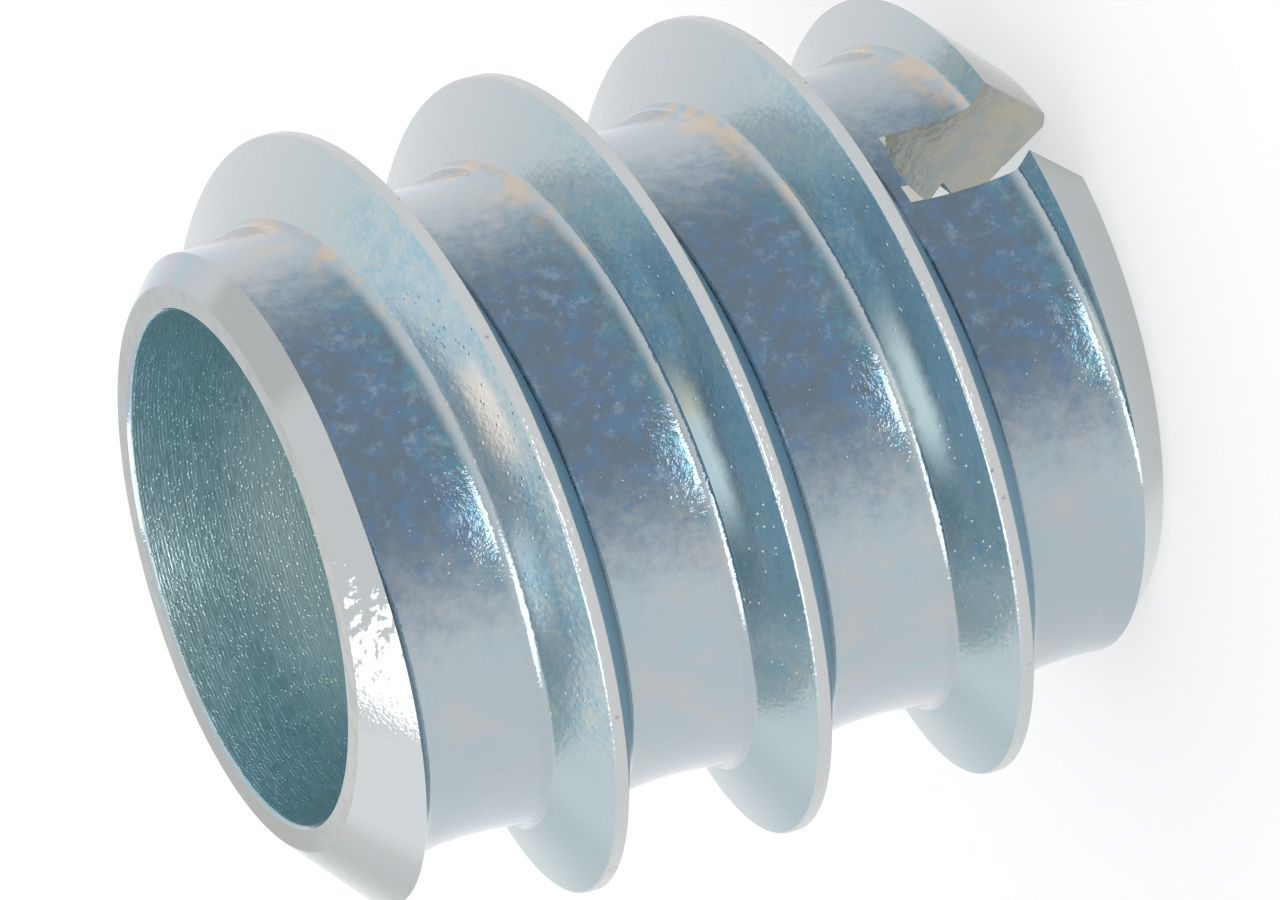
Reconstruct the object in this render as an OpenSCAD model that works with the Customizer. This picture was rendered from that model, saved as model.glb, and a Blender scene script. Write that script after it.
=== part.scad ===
// Screw-in threaded insert, turned from one bar of steel. A coarse outer thread
// cuts its own way into wood, and a tapped hole through the middle takes a bolt.
// The insert stands on its slotted end at z = 0, with its axis along +Z. The slot
// runs along X, and the plain end is on top.

/* [Body] */
// Length over both ends
length = 20; // [17:0.5:30]
// Diameter of the core that the outer thread winds around
core_d = 14.5; // [13.8:0.1:16]

/* [Outer thread] */
// Diameter over the crests
crest_d = 18.5; // [17:0.1:22]
// Distance along the axis from one crest to the next
pitch = 5; // [4:0.1:7]
// Width of the flat land on the crest
crest_w = 0.3; // [0.1:0.05:0.6]
// Lean of the flank that faces the plain end, from square to the axis
plain_flank_angle = 23; // [15:1:30]
// Lean of the flank that faces the slotted end, from square to the axis
slot_flank_angle = 25; // [15:1:30]
// Radius where each flank runs into the core
root_fillet = 0.4; // [0.2:0.05:0.6]
// Turn of the thread about the axis, measured from the slot
thread_turn = 297; // [0:1:359]

/* [Plain end] */
// Outer diameter of the flat end face
plain_face_d = 13.2; // [12.6:0.1:13.6]
// Angle of the outer chamfer from the axis
plain_chamfer_angle = 47; // [30:1:60]

/* [Slotted end] */
// Outer diameter of the flat end face
slot_face_d = 12.7; // [12.4:0.1:13.4]
// Angle of the outer chamfer from the axis
slot_chamfer_angle = 45; // [30:1:60]

/* [Driver slot] */
// Width across the slot
slot_w = 2.1; // [1.4:0.1:3]
// Depth of the slot on its centre line
slot_depth = 4.3; // [3:0.1:6]
// Radius of the crowned slot floor
slot_floor_r = 2.2; // [1.6:0.1:8]

/* [Tapped hole] */
// Diameter at the thread's inner crests, for a metric 10 mm thread
tap_d = 8.5; // [6:0.1:9.4]
// Diameter of the countersink at the slotted end
countersink_d = 12; // [10.2:0.1:12.2]
// Angle of the countersink's wall from the axis
countersink_angle = 47; // [35:1:60]

/* [Relief bore] */
// Diameter of the plain bore behind the tapped hole
relief_d = 12; // [10:0.1:12.4]
// Depth of the plain bore from the plain end
relief_depth = 6; // [3:0.5:9]
// Angle of the shoulder's wall from the axis
relief_shoulder_angle = 59; // [45:1:75]

/* [Hidden] */
$fn = 96;

STEPS_A_TURN = 48;
FILLET_STEPS = 3;
// How far the ridge is sunk into the core, and how far cutters pass each face
SINK = 0.12;
PASS = 1;
// Half the least width of bare core between two turns of the ridge
BARE_CORE = 0.02;

core_r = core_d / 2;
crest_r = crest_d / 2;
envelope_r = crest_r + PASS;
tap_r = tap_d / 2;
relief_r = relief_d / 2;

plain_chamfer_h = (envelope_r - plain_face_d / 2) / tan(plain_chamfer_angle);
slot_chamfer_h = (envelope_r - slot_face_d / 2) / tan(slot_chamfer_angle);
countersink_h = (countersink_d / 2 - tap_r) / tan(countersink_angle);
shoulder_h = (relief_r - tap_r) / tan(relief_shoulder_angle);

// How far a flank's foot lies from the crest's centre, for a flank that leans by angle a
function flank_foot(a) = crest_w / 2 + (crest_r - core_r) * tan(a);
// Room for each root fillet between two turns of the ridge
fillet_room =
    (pitch - flank_foot(slot_flank_angle) - flank_foot(plain_flank_angle)) / 2 - BARE_CORE;

// Half of a ridge's outline as [distance from the crest's centre, radius], from
// the sunken root up to the crest's edge, for a flank that leans by angle a
function half_ridge(a) =
    let (
        corner = flank_foot(a),
        tangent = min(root_fillet * tan((90 - a) / 2), fillet_room),
        fillet_r = tangent / tan((90 - a) / 2),
        step = (90 - a) / FILLET_STEPS,
        fillet = [
            for (i = [1 : FILLET_STEPS])
                [
                    corner + tangent - fillet_r * sin(i * step),
                    core_r + fillet_r * (1 - cos(i * step))
                ]
        ],
        spread = fillet_r * sin(step) * SINK / (fillet[0].y - core_r),
        foot = [corner + min(tangent + spread, fillet_room), core_r - SINK]
    )
    concat([foot], fillet, [[crest_w / 2, crest_r]]);

slot_side = [for (p = half_ridge(slot_flank_angle)) [-p.x, p.y]];
plain_side = half_ridge(plain_flank_angle);
outline = concat(
    [for (p = slot_side) p],
    [for (i = [len(plain_side) - 1 : -1 : 0]) plain_side[i]]
);

first_step = -floor(1.5 * STEPS_A_TURN);
last_step = ceil((length / pitch + 1.5) * STEPS_A_TURN);

// One ridge that winds right-handed up the axis, longer than the body at both ends
module ridge() {
    size = len(outline);
    points = [
        for (s = [first_step : last_step])
            let (turn = 360 * s / STEPS_A_TURN, rise = pitch * s / STEPS_A_TURN)
                for (p = outline)
                    [p.y * cos(turn), p.y * sin(turn), p.x + rise]
    ];
    sides = [
        for (s = [0 : last_step - first_step - 1], k = [0 : size - 1])
            let (
                a = s * size + k,
                b = s * size + (k + 1) % size,
                c = a + size,
                d = b + size
            )
                each [[a, b, c], [b, d, c]]
    ];
    first_cap = [for (k = [size - 1 : -1 : 0]) k];
    last_cap = [for (k = [0 : size - 1]) (last_step - first_step) * size + k];
    rotate([0, 0, thread_turn])
        polyhedron(points, concat(sides, [first_cap, last_cap]), convexity = 10);
}

// The turned shape that cuts the chamfers and both end faces
module envelope() {
    rotate_extrude()
        polygon([
            [0, 0],
            [slot_face_d / 2, 0],
            [envelope_r, slot_chamfer_h],
            [envelope_r, length - plain_chamfer_h],
            [plain_face_d / 2, length],
            [0, length]
        ]);
}

module hole() {
    rotate_extrude()
        polygon([
            [0, -PASS],
            [countersink_d / 2 + PASS * tan(countersink_angle), -PASS],
            [tap_r, countersink_h],
            [tap_r, length - relief_depth - shoulder_h],
            [relief_r, length - relief_depth],
            [relief_r, length + PASS],
            [0, length + PASS]
        ]);
}

// The slot's cross section has straight walls and a shallow crowned floor
module slot() {
    rotate([90, 0, 90])
        linear_extrude(height = 2 * envelope_r, center = true)
            intersection() {
                translate([-slot_w / 2, -PASS])
                    square([slot_w, slot_depth + 2 * PASS]);
                union() {
                    translate([0, slot_depth - slot_floor_r])
                        circle(r = slot_floor_r);
                    translate([-slot_w, -2 * PASS])
                        square([2 * slot_w, slot_depth - slot_floor_r + 2 * PASS]);
                }
            }
}

module insert() {
    color([0.68, 0.74, 0.77])
        difference() {
            intersection() {
                union() {
                    translate([0, 0, -PASS])
                        cylinder(r = core_r, h = length + 2 * PASS);
                    ridge();
                }
                envelope();
            }
            hole();
            slot();
        }
}

insert();
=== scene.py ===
"""A screw-in threaded insert of zinc-plated steel, standing on its slotted end.

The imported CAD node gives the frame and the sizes. One detailed mesh replaces it: the
outer wood thread with its hollow roots and worn crests, the chamfered ends, the driver
slot, the tapped hole with its real metric thread, and the relief bore.
"""

import math
import random

import bmesh
import bpy
import numpy as np
from mathutils import Matrix, Vector


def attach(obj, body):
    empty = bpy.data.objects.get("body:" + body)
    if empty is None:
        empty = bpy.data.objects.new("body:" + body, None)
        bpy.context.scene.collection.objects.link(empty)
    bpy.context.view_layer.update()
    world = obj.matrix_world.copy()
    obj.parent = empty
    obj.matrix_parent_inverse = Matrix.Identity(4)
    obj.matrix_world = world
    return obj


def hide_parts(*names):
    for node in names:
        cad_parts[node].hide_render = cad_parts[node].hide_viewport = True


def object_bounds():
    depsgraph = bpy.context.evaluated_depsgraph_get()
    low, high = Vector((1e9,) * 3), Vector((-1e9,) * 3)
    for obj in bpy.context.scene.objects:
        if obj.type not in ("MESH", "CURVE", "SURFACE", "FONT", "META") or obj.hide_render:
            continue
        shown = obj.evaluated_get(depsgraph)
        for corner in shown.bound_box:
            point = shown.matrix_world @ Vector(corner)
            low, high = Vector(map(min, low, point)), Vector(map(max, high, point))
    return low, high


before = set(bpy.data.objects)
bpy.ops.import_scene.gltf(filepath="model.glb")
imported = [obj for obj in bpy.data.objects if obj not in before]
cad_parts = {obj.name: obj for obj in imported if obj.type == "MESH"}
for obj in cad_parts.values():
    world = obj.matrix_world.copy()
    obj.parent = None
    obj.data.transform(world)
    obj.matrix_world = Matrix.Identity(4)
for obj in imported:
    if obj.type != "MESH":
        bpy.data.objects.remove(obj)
cad_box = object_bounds()

MM = 0.001  # metres in a millimetre

# Sizes of the insert in millimetres, with z = 0 at the slotted end
LENGTH = (cad_box[1].z - cad_box[0].z) / MM
# The outer thread. A flank is given by its length along the axis, from the crest to the root
CREST_R = 9.2
CORE_R = 7.2
PITCH = 5.0
CREST_W = 0.29
PLAIN_FLANK = 0.84
SLOT_FLANK = 0.88
THREAD_TURN = math.radians(297)  # where the crest crosses z = 0, from +X
ROOT_HOLLOW_R = 8.0
ROOT_FILLET = 0.36
CREST_EDGES = (0.05, 0.11)  # radii, the slot side first
# The end faces, and each chamfer as the radius gained in a millimetre along the axis
PLAIN_FACE_R = 6.6
PLAIN_CHAMFER = 1.08
SLOT_FACE_R = 6.42
SLOT_CHAMFER = 1.0
# The hole: a countersink at the slotted end, the tapped thread and the relief bore
COUNTERSINK_R = 6.0
COUNTERSINK_SLOPE = math.tan(math.radians(47))
RELIEF_R = 6.0
RELIEF_DEPTH = 6.0
RELIEF_RIM = 0.08
SHOULDER_SLOPE = math.tan(math.radians(59))
TAP_R = 4.25
TAP_MAJOR_R = 5.05
TAP_PITCH = 1.5
TAP_CREST = 0.02  # half the width of the screw's crest
TAP_SECTION = (math.radians(12), 2.42)  # a groove seen in the slot: angle from +X, height
# The driver slot, whose floor is an arc
SLOT_W = 2.1
SLOT_DEPTH = 4.3
SLOT_FLOOR_R = 2.2
PASS = 1.2  # how far a cutter reaches past what it cuts

# Facets round the body, the bores and the tapped thread
BODY_COLUMNS = 480
BORE_COLUMNS = 192
TAP_COLUMNS = 120
SHARP_ANGLE = math.radians(28)

# Direction of the camera from the axis, clockwise from +X as seen from above
CAMERA_SIDE = math.radians(38.45)


def rounded(points, radii, steps):
    """An open outline whose inner corners are turned into arcs of the given radii."""
    out = [points[0]]
    for i in range(1, len(points) - 1):
        p, a, b = (np.array(points[k], float) for k in (i, i - 1, i + 1))
        r = radii[i]
        if r <= 0:
            out.append(tuple(p))
            continue
        u, v = (a - p) / np.linalg.norm(a - p), (b - p) / np.linalg.norm(b - p)
        half = math.acos(max(-1, min(1, float(u @ v)))) / 2
        cut = r / math.tan(half)
        centre = p + (u + v) / np.linalg.norm(u + v) * r / math.sin(half)
        s, e = p + u * cut - centre, p + v * cut - centre
        a0, a1 = math.atan2(s[1], s[0]), math.atan2(e[1], e[0])
        sweep = (a1 - a0 + math.pi) % (2 * math.pi) - math.pi
        for k in range(steps + 1):
            t = a0 + sweep * k / steps
            out.append((centre[0] + r * math.cos(t), centre[1] + r * math.sin(t)))
    out.append(points[-1])
    return out


def mesh_object(name, verts, faces):
    """A mesh with its doubled points joined and its faces looking outwards."""
    mesh = bpy.data.meshes.new(name)
    mesh.from_pydata([tuple(v) for v in verts], [], faces)
    obj = bpy.data.objects.new(name, mesh)
    bpy.context.scene.collection.objects.link(obj)
    bm = bmesh.new()
    bm.from_mesh(mesh)
    bmesh.ops.remove_doubles(bm, verts=bm.verts, dist=1e-7)
    bmesh.ops.recalc_face_normals(bm, faces=bm.faces)
    bm.to_mesh(mesh)
    bm.free()
    return obj


def helix(name, outline, pitch, turn, columns, low, high, worn=None):
    """A closed solid round the Z axis whose side is one outline wound up a helix.

    The outline holds [height, radius] points that climb through one pitch. Its height 0 lies
    at z = 0 where the angle is `turn`, and the solid runs well past `low` and `high`.
    `worn` gives how far the crest is knocked in at an angle along the helix.
    """
    per = len(outline)
    top_r = max(r for _, r in outline)
    turn %= 2 * math.pi
    first = math.floor(low / pitch) - 2
    last = math.ceil(high / pitch) + 3
    rows = (last - first) * per
    verts, faces = [], []
    for j in range(columns):
        a = 2 * math.pi * j / columns
        rise = pitch * (a - turn) / (2 * math.pi)
        laps = (a + 2 * math.pi * m for m in range(first, last))
        knocks = [worn(lap) if worn else 0.0 for lap in laps]
        for k in range(rows):
            s, r = outline[k % per]
            z = s + (first + k // per) * pitch + rise
            r = min(r, top_r - knocks[k // per])
            verts.append((r * math.cos(a) * MM, r * math.sin(a) * MM, z * MM))
    for j in range(columns):
        wrap = j == columns - 1
        n = 0 if wrap else j + 1
        shift = per if wrap else 0
        for k in range(rows - 1):
            if k + 1 + shift >= rows:
                break
            faces.append((
                j * rows + k, n * rows + k + shift,
                n * rows + k + 1 + shift, j * rows + k + 1,
            ))
    # The open edge at each end is one turn of the helix and a step back to its start
    top_row = rows - 1
    bottom = [j * rows for j in range(columns)] + [k for k in range(per, 0, -1)]
    top = [j * rows + top_row for j in range(columns)]
    top += [(columns - 1) * rows + top_row - m for m in range(1, per + 1)]
    for loop, height in ((bottom, low - 2 * pitch), (top, high + 2 * pitch)):
        centre = len(verts)
        verts.append((0, 0, height * MM))
        faces += [(centre, v, loop[(i + 1) % len(loop)]) for i, v in enumerate(loop)]
    return mesh_object(name, verts, faces)


def lathe(name, outline, columns):
    """A closed solid of revolution about Z.

    The outline holds [radius, height] points, and starts and ends on the axis.
    """
    verts, faces = [], []
    rings = []
    for r, z in outline:
        if r < 1e-9:
            rings.append([len(verts)])
            verts.append((0, 0, z * MM))
            continue
        ring = []
        for j in range(columns):
            a = 2 * math.pi * j / columns
            ring.append(len(verts))
            verts.append((r * math.cos(a) * MM, r * math.sin(a) * MM, z * MM))
        rings.append(ring)
    for lower, upper in zip(rings, rings[1:]):
        for j in range(columns):
            n = (j + 1) % columns
            if len(lower) == 1:
                faces.append((lower[0], upper[n], upper[j]))
            elif len(upper) == 1:
                faces.append((lower[j], lower[n], upper[0]))
            else:
                faces.append((lower[j], lower[n], upper[n], upper[j]))
    return mesh_object(name, verts, faces)


def combine(base, other, operation):
    """Cuts the other solid out of the base, or the base down to it. The other is used up."""
    modifier = base.modifiers.new("cut", "BOOLEAN")
    modifier.operation = operation
    modifier.solver = "MANIFOLD"
    modifier.object = other
    bpy.context.view_layer.update()
    evaluated = base.evaluated_get(bpy.context.evaluated_depsgraph_get())
    mesh = bpy.data.meshes.new_from_object(evaluated)
    base.modifiers.clear()
    base.data = mesh
    bpy.data.objects.remove(other)
    return base


def body_outline():
    """One pitch of the outer thread, from the middle of one hollow root to the next."""
    slot_foot = -CREST_W / 2 - SLOT_FLANK
    plain_foot = CREST_W / 2 + PLAIN_FLANK
    middle = (plain_foot + slot_foot + PITCH) / 2
    half = middle - plain_foot
    land = []
    steps = 8
    for i in range(steps + 1):
        x = -half + 2 * half * i / steps
        land.append((x, CORE_R + ROOT_HOLLOW_R - math.sqrt(ROOT_HOLLOW_R**2 - x * x)))
    right = [(middle - PITCH + x, r) for x, r in land[steps // 2:]]
    left = [(middle + x, r) for x, r in land[: steps // 2 + 1]]
    points = right + [(-CREST_W / 2, CREST_R), (CREST_W / 2, CREST_R)] + left
    radii = [0.0] * len(points)
    foot = len(right) - 1
    radii[foot:foot + 4] = [ROOT_FILLET, *CREST_EDGES, ROOT_FILLET]
    return rounded(points, radii, 5)[:-1]


def tap_outline():
    """One pitch of the metric thread in the hole, as the shape of the matching screw."""
    flank = (TAP_MAJOR_R - TAP_R) * math.tan(math.radians(30))
    foot = TAP_CREST + flank
    points = [
        (-TAP_PITCH / 2, TAP_R), (-foot, TAP_R), (-TAP_CREST, TAP_MAJOR_R),
        (TAP_CREST, TAP_MAJOR_R), (foot, TAP_R), (TAP_PITCH / 2, TAP_R),
    ]
    return rounded(points, [0, 0.05, 0.02, 0.02, 0.05, 0], 2)[:-1]


def crest_wear():
    """Small knocks along the crest of the ridge, as a function of the angle along the helix."""
    draw = random.Random(11)
    turns = LENGTH / PITCH + 2
    # Each knock has its angle along the helix, its depth and its half width in mm
    knocks = []
    for _ in range(90):
        angle = draw.uniform(-2, turns) * 2 * math.pi
        knocks.append((angle, draw.uniform(0.008, 0.035), draw.uniform(0.10, 0.35)))

    def worn(angle):
        depth = 0.0
        for middle, deep, wide in knocks:
            off = (angle - middle) * CREST_R / wide
            if abs(off) < 3:
                depth = max(depth, deep * math.exp(-off * off))
        return depth

    return worn


def envelope():
    """The outer bounds of the thread, with the chamfer and the end face at each end."""
    outer = CREST_R + PASS
    points = [
        (0, 0), (SLOT_FACE_R, 0), (outer, (outer - SLOT_FACE_R) / SLOT_CHAMFER),
        (outer, LENGTH - (outer - PLAIN_FACE_R) / PLAIN_CHAMFER),
        (PLAIN_FACE_R, LENGTH), (0, LENGTH),
    ]
    outline = rounded(points, [0, 0.22, 0, 0, 0.12, 0], 5)
    return lathe("envelope", outline, BODY_COLUMNS)


def bore():
    """The countersink at the slotted end and the relief bore at the plain end."""
    tip_r = TAP_R - 1  # both cones end inside the tapped hole
    tip_z = (COUNTERSINK_R - tip_r) / COUNTERSINK_SLOPE
    points = [
        (0, -PASS), (COUNTERSINK_R + PASS * COUNTERSINK_SLOPE, -PASS),
        (COUNTERSINK_R, 0), (tip_r, tip_z), (0, tip_z),
    ]
    countersink = lathe("countersink", points, BORE_COLUMNS)
    floor_z = LENGTH - RELIEF_DEPTH
    tip_z = floor_z - (RELIEF_R - tip_r) / SHOULDER_SLOPE
    points = [
        (0, tip_z), (tip_r, tip_z), (RELIEF_R, floor_z), (RELIEF_R, LENGTH - RELIEF_RIM),
        (RELIEF_R + RELIEF_RIM + PASS, LENGTH + PASS), (0, LENGTH + PASS),
    ]
    outline = rounded(points, [0, 0, 0.15, 0.1, 0, 0], 4)
    return countersink, lathe("relief", outline, BORE_COLUMNS)


def slot_cutter():
    """A bar across the slotted end, along X, whose top is the arc of the slot's floor."""
    half = SLOT_W / 2
    centre = SLOT_DEPTH - SLOT_FLOOR_R
    side = math.asin(half / SLOT_FLOOR_R)
    outline = [(-half, -PASS), (half, -PASS)]
    steps = 10
    for i in range(steps + 1):
        a = side - 2 * side * i / steps
        outline.append((SLOT_FLOOR_R * math.sin(a), centre + SLOT_FLOOR_R * math.cos(a)))
    verts, faces = [], []
    reach = CREST_R + PASS
    for x in (-reach, reach):
        verts += [(x * MM, y * MM, z * MM) for y, z in outline]
    n = len(outline)
    faces.append(tuple(range(n)))
    faces.append(tuple(range(2 * n - 1, n - 1, -1)))
    for i in range(n):
        j = (i + 1) % n
        faces.append((i, i + n, j + n, j))
    return mesh_object("slot", verts, faces)


def build_insert():
    """The whole insert as one solid mesh."""
    body = helix(
        "insert_body", body_outline(), PITCH, THREAD_TURN, BODY_COLUMNS, 0, LENGTH, crest_wear()
    )
    combine(body, envelope(), "INTERSECT")
    for cutter in bore():
        combine(body, cutter, "DIFFERENCE")
    angle, height = TAP_SECTION
    tap_turn = angle - 2 * math.pi * (height / TAP_PITCH)
    tap_top = LENGTH - RELIEF_DEPTH
    screw = helix("screw", tap_outline(), TAP_PITCH, tap_turn, TAP_COLUMNS, -1, tap_top)
    combine(body, screw, "DIFFERENCE")
    combine(body, slot_cutter(), "DIFFERENCE")
    body.name = "insert_steel"
    body.data.name = "insert_steel"
    for p in body.data.polygons:
        p.use_smooth = True
    body.data.set_sharp_from_angle(angle=SHARP_ANGLE)
    return body


def camera():
    """A long lens on the middle of the axis, from the camera's side and above.

    The photo shows the part lying across the picture, so the camera is rolled to match.
    """
    climb, roll = 0.3303, 0.2835  # radians
    distance = 0.6696
    aside, below = 0.027 * MM, 0.025 * MM  # how far the target lies off the picture's middle
    target = Vector((0, 0, LENGTH / 2 * MM))
    spin = Matrix.Rotation(-CAMERA_SIDE, 3, "Z")
    back = spin @ Vector((math.cos(climb), 0, math.sin(climb)))
    up = spin @ Vector((-math.sin(climb), 0, math.cos(climb)))
    side = spin @ Vector((0, 1, 0))
    right = -up * math.cos(roll) - side * math.sin(roll)
    down = up * math.sin(roll) - side * math.cos(roll)
    data = bpy.data.cameras.new("camera")
    data.sensor_width = 36
    data.lens = 835
    data.clip_start, data.clip_end = 0.05, 5
    cam = bpy.data.objects.new("camera", data)
    bpy.context.scene.collection.objects.link(cam)
    place = target + back * distance - right * aside - down * below
    axes = Matrix((right, -down, back)).transposed().to_4x4()
    cam.matrix_world = Matrix.Translation(place) @ axes
    bpy.context.scene.camera = cam


class Nodes:
    """Short calls for building a node tree."""

    def __init__(self, tree):
        self.tree = tree
        tree.nodes.clear()

    def new(self, kind, **settings):
        node = self.tree.nodes.new(kind)
        for key, value in settings.items():
            setattr(node, key, value)
        return node

    def put(self, socket, value):
        if isinstance(value, bpy.types.NodeSocket):
            self.tree.links.new(value, socket)
        else:
            socket.default_value = value

    def math(self, operation, a, b=0.0, clamp=False):
        node = self.new("ShaderNodeMath", operation=operation, use_clamp=clamp)
        self.put(node.inputs[0], a)
        self.put(node.inputs[1], b)
        return node.outputs[0]

    def times(self, *factors):
        total = factors[0]
        for factor in factors[1:]:
            total = self.math("MULTIPLY", total, factor)
        return total

    def ramp(self, value, low, high, start=0.0, end=1.0):
        """A smooth step from `start` at `low` to `end` at `high`."""
        node = self.new("ShaderNodeMapRange", interpolation_type="SMOOTHSTEP")
        limits = {"Value": value, "From Min": low, "From Max": high, "To Min": start, "To Max": end}
        for key, number in limits.items():
            self.put(node.inputs[key], number)
        return node.outputs["Result"]

    def near(self, value, middle, full, none):
        """1 where the value is within `full` of the middle, 0 where it is further than `none`."""
        off = self.math("ABSOLUTE", self.math("SUBTRACT", value, middle))
        return self.ramp(off, full, none, 1.0, 0.0)

    def mix(self, factor, a, b):
        """Blends from colour a to colour b."""
        node = self.new("ShaderNodeMix", data_type="RGBA")
        self.put(node.inputs["Factor"], factor)
        for socket, value in ((node.inputs[6], a), (node.inputs[7], b)):
            self.put(socket, (*value, 1.0) if isinstance(value, tuple) else value)
        return node.outputs[2]

    def seen(self):
        """1 for the rays of the camera, of mirrors and of glass, and 0 for the rest."""
        rays = self.new("ShaderNodeLightPath").outputs
        direct = self.math("MAXIMUM", rays["Is Camera Ray"], rays["Is Glossy Ray"])
        return self.math("MAXIMUM", direct, rays["Is Transmission Ray"])


def studio():
    """Plain white world light. The camera and the metal see the same even white background."""
    world = bpy.data.worlds.new("studio")
    bpy.context.scene.world = world
    world.use_nodes = True
    n = Nodes(world.node_tree)
    background = n.new("ShaderNodeBackground")
    n.put(background.inputs["Color"], n.mix(n.seen(), (0.95, 0.96, 0.97), (1.0, 1.0, 1.0)))
    output = n.new("ShaderNodeOutputWorld")
    n.put(output.inputs["Surface"], background.outputs[0])


def floor():
    """A plain white floor. A share of it is plain white light, so that the shadow stays pale."""
    size = 0.6
    light_share = 0.6
    mesh = bpy.data.meshes.new("floor")
    corners = [(-size, -size, 0), (size, -size, 0), (size, size, 0), (-size, size, 0)]
    mesh.from_pydata(corners, [], [(0, 1, 2, 3)])
    obj = bpy.data.objects.new("floor", mesh)
    bpy.context.scene.collection.objects.link(obj)
    material = bpy.data.materials.new("floor")
    material.use_nodes = True
    n = Nodes(material.node_tree)
    matt = n.new("ShaderNodeBsdfDiffuse")
    matt.inputs["Color"].default_value = (0.97, 0.97, 0.97, 1)
    white = n.new("ShaderNodeEmission")
    blend = n.new("ShaderNodeMixShader")
    n.put(blend.inputs[0], n.times(n.seen(), light_share))
    n.put(blend.inputs[1], matt.outputs[0])
    n.put(blend.inputs[2], white.outputs[0])
    output = n.new("ShaderNodeOutputMaterial")
    n.put(output.inputs["Surface"], blend.outputs[0])
    mesh.materials.append(material)


def soft_lamp(name, energy, width, bearing, elevation):
    """A distant soft lamp. Its width, bearing from the camera's side and elevation are in degrees."""
    data = bpy.data.lights.new(name, "SUN")
    data.energy = energy
    data.angle = math.radians(width)
    lamp = bpy.data.objects.new(name, data)
    bpy.context.scene.collection.objects.link(lamp)
    # A sun lamp shines straight down until it is tipped, towards -Y, and then turned round Z
    turn = math.radians(90 + bearing) - CAMERA_SIDE
    lamp.rotation_euler = (math.radians(90 - elevation), 0, turn)


class Finish(Nodes):
    """A material of the plating, with the coordinates its patterns are laid out by."""

    def __init__(self, name):
        self.material = bpy.data.materials.new(name)
        self.material.use_nodes = True
        super().__init__(self.material.node_tree)
        place = self.new("ShaderNodeTexCoord").outputs["Object"]
        scaled = self.new("ShaderNodeVectorMath", operation="SCALE")
        self.put(scaled.inputs[0], place)
        scaled.inputs["Scale"].default_value = 1 / MM
        self.mm = scaled.outputs[0]
        self.bearing, self.height, self.wind = self.polar()

    def polar(self):
        """Degrees round the axis from the camera's side, height in mm, and the winding.

        The winding runs from 0 to 1 as a point climbs from one crest of the ridge to the next.
        """
        turned = self.new("ShaderNodeVectorRotate", rotation_type="Z_AXIS")
        self.put(turned.inputs["Vector"], self.mm)
        turned.inputs["Angle"].default_value = CAMERA_SIDE
        parts = self.new("ShaderNodeSeparateXYZ")
        self.put(parts.inputs[0], turned.outputs[0])
        x, y, height = parts.outputs
        angle = self.math("ARCTAN2", y, x)
        start = (THREAD_TURN + CAMERA_SIDE) / (2 * math.pi)
        turns = self.math("SUBTRACT", self.times(angle, 0.5 / math.pi), start)
        climbed = self.math("SUBTRACT", self.math("DIVIDE", height, PITCH), turns)
        return self.times(angle, 180 / math.pi), height, self.math("FRACT", climbed)

    def noise(self, scale, detail, rough, place=None):
        node = self.new("ShaderNodeTexNoise")
        self.put(node.inputs["Vector"], self.mm if place is None else place)
        self.put(node.inputs["Scale"], scale)
        self.put(node.inputs["Detail"], detail)
        self.put(node.inputs["Roughness"], rough)
        return node

    def cloud(self, scale, detail=2.0, rough=0.5, place=None):
        """One noise pattern round 0.5, at so many bumps a millimetre."""
        return self.noise(scale, detail, rough, place).outputs["Fac"]

    def clouds(self, scale, detail, rough):
        """Three noise patterns that have nothing to do with each other."""
        parts = self.new("ShaderNodeSeparateColor")
        self.put(parts.inputs[0], self.noise(scale, detail, rough).outputs["Color"])
        return parts.outputs

    def pimples(self, scale, share, size):
        """Low domes at random cells of a given share, with a height of 1 at their middle."""
        cells = self.new("ShaderNodeTexVoronoi", feature="F1")
        self.put(cells.inputs["Vector"], self.mm)
        cells.inputs["Scale"].default_value = scale
        dome = self.ramp(cells.outputs["Distance"], 0.0, size, 1.0, 0.0)
        if share == 1:
            return dome
        pick = self.new("ShaderNodeSeparateColor")
        self.put(pick.inputs[0], cells.outputs["Color"])
        return self.times(dome, self.ramp(pick.outputs[0], 1 - share, 1 - share + 0.02))

    def done(self, colour, metallic, roughness, layers):
        """Closes the tree. The layers are heights of relief in millimetres."""
        relief = layers[0]
        for layer in layers[1:]:
            relief = self.math("ADD", relief, layer)
        bump = self.new("ShaderNodeBump")
        bump.inputs["Strength"].default_value = 1.0
        bump.inputs["Distance"].default_value = MM
        self.put(bump.inputs["Height"], relief)
        shader = self.new("ShaderNodeBsdfPrincipled")
        self.put(shader.inputs["Base Color"], colour)
        self.put(shader.inputs["Metallic"], metallic)
        self.put(shader.inputs["Roughness"], roughness)
        self.put(shader.inputs["Normal"], bump.outputs[0])
        output = self.new("ShaderNodeOutputMaterial")
        self.put(output.inputs["Surface"], shader.outputs[0])
        return self.material


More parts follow.
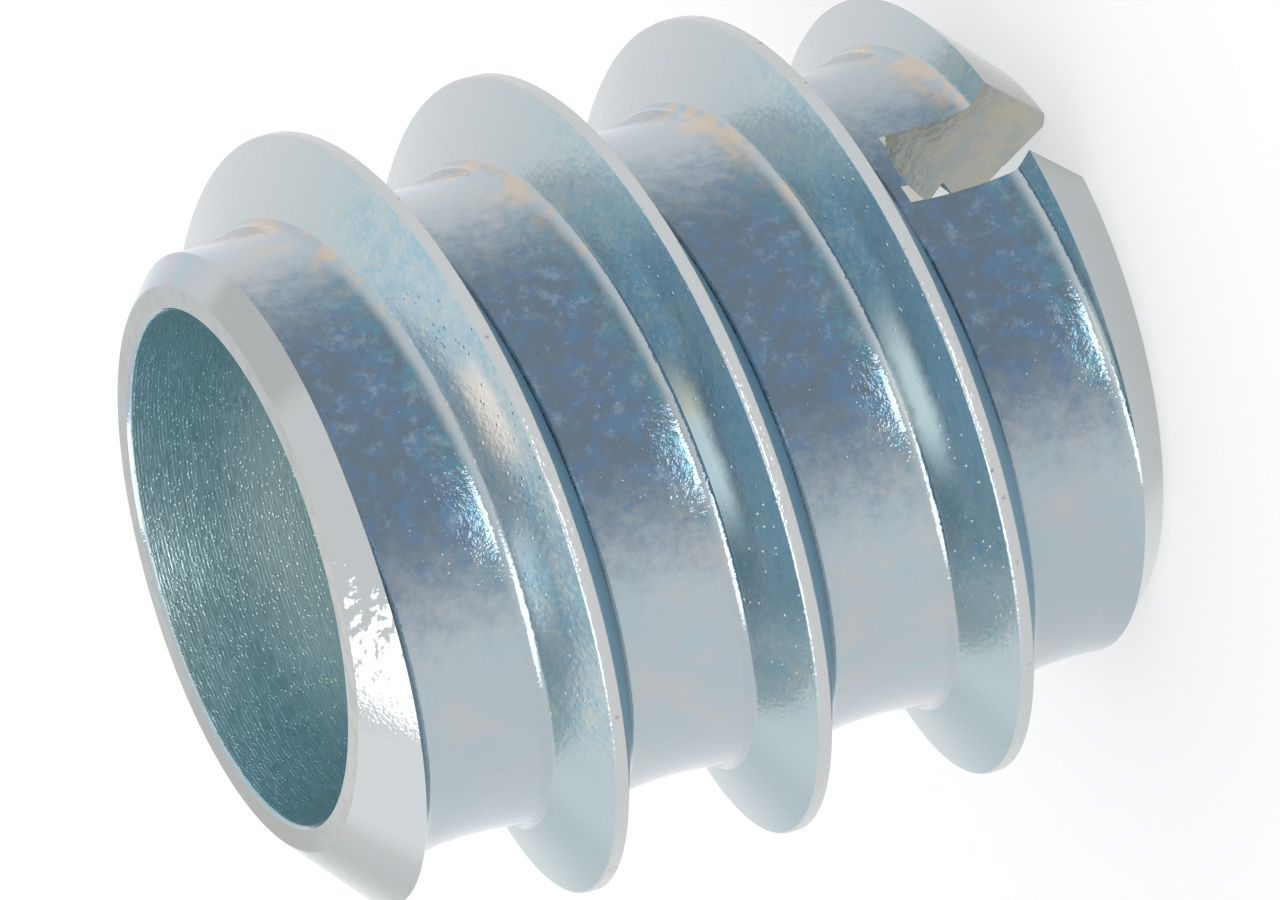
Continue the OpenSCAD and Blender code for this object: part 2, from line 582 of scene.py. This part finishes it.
def zinc_root():
    """Bright zinc of the hollow roots, with a dark blotchy band on the camera's side that is partly
    blue film and partly a painted dark reflection.
    """
    n = Finish("zinc_root")
    cream, teal, violet = n.clouds(0.7, 3.0, 0.6)
    colour = n.mix(n.ramp(cream, 0.5, 0.64, 0, 0.4), (0.43, 0.49, 0.53), (0.53, 0.51, 0.47))
    colour = n.mix(n.ramp(teal, 0.5, 0.64, 0, 0.4), colour, (0.38, 0.51, 0.55))
    colour = n.mix(n.ramp(violet, 0.5, 0.66, 0, 0.2), colour, (0.45, 0.47, 0.53))
    # Straw-coloured film along the upper foot of the ridge
    straw = n.times(n.near(n.bearing, 62, 18, 34), n.ramp(n.wind, 0.24, 0.40, 1.0, 0.0))
    straw = n.times(straw, n.ramp(n.cloud(1.4, 2.0), 0.42, 0.58), 0.7)
    colour = n.mix(straw, colour, (0.62, 0.51, 0.40))
    # Dark band with ragged ends on the camera's side, partly heavy blue film and partly a painted
    # dark reflection, with blue and teal blotches of film in it
    mottle, shift, fade = n.clouds(2.2, 4.0, 0.75)
    uneven = n.math("SUBTRACT", shift, 0.5)
    film_and_painted_reflection = n.near(n.math("ADD", n.bearing, n.times(uneven, 20.0)), 18, 16, 48)
    film_and_painted_reflection = n.times(film_and_painted_reflection, n.ramp(n.wind, 0.20, 0.26))
    bare = n.times(n.ramp(n.wind, 0.36, 0.56), 0.07)
    blotch = n.ramp(n.math("SUBTRACT", mottle, bare), 0.36, 0.60)
    blotch = n.times(blotch, film_and_painted_reflection, 0.7)
    # Painted reflection: the band is darkened nearly to black, a dark reflection painted over the
    # film
    colour = n.mix(n.times(film_and_painted_reflection, 0.9), colour, (0.10, 0.145, 0.195))
    hue = n.math("ADD", n.wind, n.times(uneven, 0.5))
    deep = n.mix(n.ramp(hue, 0.25, 0.40), (0.09, 0.27, 0.33), (0.10, 0.20, 0.34))
    pale = n.ramp(fade, 0.50, 0.62, 0, 0.55)
    colour = n.mix(blotch, colour, n.mix(pale, deep, (0.32, 0.42, 0.49)))
    # A painted highlight: the pale cream reflection painted on the flank runs a little way into the
    # fillet
    painted_highlight_fillet = n.times(n.near(n.bearing, -3, 2, 14), n.ramp(n.wind, 0.225, 0.20))
    painted_highlight_fillet = n.times(painted_highlight_fillet, n.ramp(n.height, 8.5, 7.0))
    colour = n.mix(painted_highlight_fillet, colour, (0.58, 0.66, 0.62))
    # Less metal in the blotches of film and in the painted highlight, so that the highlight stays
    # pale under any light
    film_and_painted_highlight = n.math("ADD", n.times(blotch, 0.32), n.times(painted_highlight_fillet, 0.6))
    dull = n.ramp(n.cloud(5.0, 2.0, 0.7), 0.48, 0.62)
    foot = n.times(n.ramp(n.wind, 0.30, 0.48, 1.0, 0.0), n.near(n.bearing, -4, 22, 32))
    return n.done(
        colour,
        n.math("SUBTRACT", 1.0, film_and_painted_highlight, clamp=True),
        n.math("ADD", 0.06, n.times(dull, 0.10)),
        (
            n.times(n.cloud(17.0, 1.0), 0.0030),
            n.times(n.cloud(4.0, 0.0), 0.0034),
            n.times(n.cloud(7.0, 2.0, 0.6), foot, 0.010),
            n.times(n.pimples(7.0, 0.30, 0.38), 0.0040),
            n.times(n.pimples(6.0, 0.18, 0.32), film_and_painted_reflection, 0.012),
            n.times(n.math("SUBTRACT", mottle, 0.5), film_and_painted_reflection, 0.022),
        ),
    )


def zinc_flank():
    """Satin zinc of the flanks, with blue bands and a painted pale cream highlight on each turn."""
    n = Finish("zinc_flank")
    colour = n.mix(n.near(n.bearing, -25, 60, 115), (0.55, 0.59, 0.61), (0.45, 0.55, 0.58))
    colour = n.mix(n.near(n.bearing, -114, 40, 56), colour, (0.35, 0.45, 0.48))
    blue = n.near(n.bearing, 33, 8, 22)
    colour = n.mix(n.times(blue, 0.45), colour, (0.37, 0.54, 0.66))
    stain, bloom, sway = n.clouds(1.6, 4.0, 0.72)
    # Below the first turn blue bands and a painted cream highlight run round the foot of the ridge
    lower = n.ramp(n.height, 14.0, 12.5)
    wavy = n.math("ADD", n.wind, n.times(n.math("SUBTRACT", sway, 0.5), 0.035))
    valley = n.times(n.near(n.bearing, 22, 4, 18), n.near(wavy, 0.155, 0.02, 0.07), lower)
    inwards = n.math("SUBTRACT", wavy, n.times(n.height, 0.0034))
    painted_highlight_patch = n.times(n.near(n.bearing, -3, 4, 20), n.near(inwards, 0.134, 0.008, 0.054), lower)
    along = n.math("ADD", n.bearing, n.times(n.height, 1.1))
    outer = n.times(n.near(along, 4.8, 9, 20), n.near(wavy, 0.07, 0.03, 0.055))
    colour = n.mix(outer, colour, n.mix(lower, (0.29, 0.42, 0.48), (0.40, 0.58, 0.64)))
    colour = n.mix(valley, colour, (0.24, 0.46, 0.59))
    side = n.near(n.bearing, 5, 45, 60)
    colour = n.mix(n.times(n.ramp(stain, 0.46, 0.60), side, 0.5), colour, (0.29, 0.48, 0.58))
    colour = n.mix(n.times(n.ramp(bloom, 0.50, 0.62), side, 0.35), colour, (0.59, 0.62, 0.54))
    grit = n.times(n.ramp(n.cloud(7.2, 1.6, 0.52), 0.50, 0.66), side, 0.4)
    colour = n.mix(grit, colour, (0.53, 0.66, 0.70))
    # Painted highlight: a whitish cream patch on the flank of the first turn
    first = n.times(n.near(n.bearing, 12, 3, 12), n.near(wavy, 0.105, 0.02, 0.055))
    first = n.times(first, n.ramp(n.height, 12.5, 14.0))
    colour = n.mix(first, colour, (0.78, 0.75, 0.69))
    # Painted highlight: a pale cream patch near the foot of each lower flank
    cream = n.times(n.ramp(n.bearing, 0, 6), n.ramp(n.height, 7.0, 9.0))
    pale = n.mix(cream, (0.62, 0.78, 0.78), (0.77, 0.77, 0.59))
    colour = n.mix(painted_highlight_patch, colour, pale)
    # Deeper blue under the ridge
    under = n.times(n.ramp(n.wind, 0.45, 0.55), n.near(n.bearing, -5, 40, 60))
    colour = n.mix(under, colour, (0.18, 0.34, 0.45))
    # Less metal under the painted highlights and in the blue bands
    film_and_painted_highlight = n.math("ADD", n.times(painted_highlight_patch, 0.78), n.times(valley, 0.38))
    film_and_painted_highlight = n.math("ADD", film_and_painted_highlight, n.times(under, 0.18))
    return n.done(
        colour,
        n.math("SUBTRACT", 0.86, film_and_painted_highlight, clamp=True),
        n.math("ADD", 0.22, n.times(under, 0.30)),
        (
            n.times(n.cloud(7.2, 1.6, 0.48), 0.006),
            n.times(n.pimples(6.0, 0.25, 0.32), n.near(n.bearing, -5, 30, 50), 0.016),
        ),
    )


def zinc_crest():
    """Zinc that has grown in beads along the crests, with a few specks of brown."""
    n = Finish("zinc_crest")
    speck = n.times(n.pimples(3.4, 0.14, 0.34), n.ramp(n.cloud(8.0, 2.0), 0.45, 0.55))
    return n.done(
        n.mix(speck, (0.56, 0.58, 0.58), (0.30, 0.26, 0.22)),
        1.0,
        n.math("ADD", 0.21, n.times(speck, 0.3)),
        (
            n.times(n.pimples(6.5, 1, 0.8), 0.010),
            n.times(n.cloud(11.0, 2.0, 0.6), 0.005),
        ),
    )


def zinc_chamfer():
    """Zinc on the turned chamfers, crumpled like foil on the camera's side."""
    n = Finish("zinc_chamfer")
    rugged = n.times(n.near(n.bearing, 9, 22, 44), n.ramp(n.height, LENGTH / 2, LENGTH / 2 + 1))
    calm = n.times(rugged, n.near(n.bearing, 7, 4, 10))
    crumple = n.math("SUBTRACT", rugged, n.times(calm, 0.7))
    film_and_painted_reflection = n.mix(n.ramp(n.cloud(1.6, 2.0), 0.42, 0.58), (0.38, 0.52, 0.57), (0.48, 0.46, 0.54))
    colour = n.mix(n.near(n.bearing, 45, 12, 20), (0.52, 0.55, 0.56), (0.42, 0.44, 0.44))
    colour = n.mix(n.near(n.bearing, -52, 10, 20), colour, (0.63, 0.67, 0.68))
    colour = n.mix(n.near(n.bearing, 116, 34, 54), colour, film_and_painted_reflection)
    colour = n.mix(n.near(n.bearing, -118, 32, 52), colour, (0.38, 0.43, 0.43))
    return n.done(
        colour,
        1.0,
        0.10,
        (
            n.times(n.cloud(10.0, 1.0), 0.004),
            n.times(n.cloud(2.72, 1.36, 0.34), crumple, 0.060),
            n.times(n.pimples(5.0, 0.25, 0.35), rugged, 0.012),
        ),
    )


def zinc_bore():
    """Dull teal zinc inside the hole, with tool rings, sparks of grain and a painted pool of light on
    the far wall near its mouth.
    """
    n = Finish("zinc_bore")
    # Streaks run with the tool rings, so the noise is drawn out round the hole
    stretch = n.new("ShaderNodeVectorMath", operation="MULTIPLY")
    n.put(stretch.inputs[0], n.mm)
    stretch.inputs[1].default_value = (1.0, 1.0, 9.0)
    streak = n.cloud(2.2, 3.0, 0.65, stretch.outputs[0])
    far = n.ramp(n.math("ABSOLUTE", n.bearing), 115, 168)
    colour = n.mix(far, (0.30, 0.52, 0.60), (0.44, 0.57, 0.56))
    # Painted light: the far wall just inside the mouth is painted near white, as light falling into
    # the hole
    colour = n.mix(n.times(far, n.ramp(n.height, 18.4, 16.4)), colour, (0.96, 0.96, 0.87))
    colour = n.mix(n.ramp(streak, 0.47, 0.65, 0, 0.35), colour, (0.66, 0.82, 0.86))
    colour = n.mix(n.ramp(streak, 0.50, 0.35, 0, 0.25), colour, (0.26, 0.40, 0.46))
    ring_pitch = 0.085
    rings = n.math("SINE", n.times(n.height, 2 * math.pi / ring_pitch))
    return n.done(
        colour,
        0.82,
        0.30,
        (
            n.times(rings, n.ramp(streak, 0.4, 0.6), 0.0018),
            n.times(n.cloud(7.0, 2.0, 0.6), 0.008),
            n.times(n.pimples(11.0, 0.45, 0.50), 0.012),
        ),
    )


def zinc_face():
    """Zinc on the plain end face."""
    n = Finish("zinc_face")
    colour = n.mix(n.near(n.bearing, -34, 20, 60), (0.45, 0.48, 0.48), (0.55, 0.56, 0.54))
    colour = n.mix(n.near(n.bearing, -125, 18, 50), colour, (0.38, 0.40, 0.38))
    dull = n.ramp(n.cloud(2.16, 2.88, 0.5), 0.45, 0.62, 0, 0.35)
    colour = n.mix(dull, colour, (0.36, 0.38, 0.36))
    return n.done(
        colour, 1.0, 0.32,
        (n.times(n.cloud(9.0, 2.0), 0.008), n.times(n.pimples(7.0, 0.15, 0.35), 0.014)),
    )


def zinc_slot():
    """Warmer zinc on the walls of the driver slot, with patches of straw and blue."""
    n = Finish("zinc_slot")
    straw, blue, _ = n.clouds(1.1, 4.0, 0.65)
    colour = n.mix(n.ramp(straw, 0.45, 0.62, 0, 0.6), (0.58, 0.57, 0.51), (0.61, 0.55, 0.44))
    colour = n.mix(n.ramp(blue, 0.45, 0.62, 0, 0.6), colour, (0.44, 0.51, 0.53))
    return n.done(colour, 1.0, 0.24, (n.times(n.cloud(5.0, 2.0), 0.009),))


FINISHES = (zinc_root, zinc_flank, zinc_crest, zinc_chamfer, zinc_bore, zinc_face, zinc_slot)


def finish_of(centre, normal):
    """The finish of a face of the insert, from where it lies and which way it looks."""
    r = math.hypot(centre.x, centre.y)
    steep = abs(normal.z)
    plain_chamfer_r = PLAIN_FACE_R + (LENGTH - centre.z) * PLAIN_CHAMFER
    slot_chamfer_r = SLOT_FACE_R + centre.z * SLOT_CHAMFER
    if 0.001 < centre.z < SLOT_DEPTH + 0.01 and abs(centre.y) < SLOT_W / 2 + 0.02:
        return zinc_slot
    if r < RELIEF_R + 0.05 and centre.z > 0.01:
        return zinc_bore
    if steep > 0.97:
        return zinc_face
    if r > CREST_R - 0.1 and steep < 0.8:
        return zinc_crest
    if normal.z > 0 and abs(r - plain_chamfer_r) < 0.06:
        return zinc_chamfer
    if normal.z < 0 and abs(r - slot_chamfer_r) < 0.06:
        return zinc_chamfer
    return zinc_flank if steep > 0.78 else zinc_root


def plate(obj):
    """Gives each face of the insert its finish."""
    mesh = obj.data
    mesh.materials.clear()
    for make in FINISHES:
        mesh.materials.append(make())
    for p in mesh.polygons:
        p.material_index = FINISHES.index(finish_of(p.center / MM, p.normal))


insert = build_insert()
plate(insert)
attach(insert, "root")
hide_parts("insert")
floor()
studio()
soft_lamp("key", energy=0.5, width=40, bearing=-70, elevation=50)
soft_lamp("fill", energy=0.5, width=26, bearing=-9, elevation=8)
camera()
bpy.context.scene.view_settings.view_transform = "Standard"

print("triangles", sum(len(p.vertices) - 2 for p in insert.data.polygons))
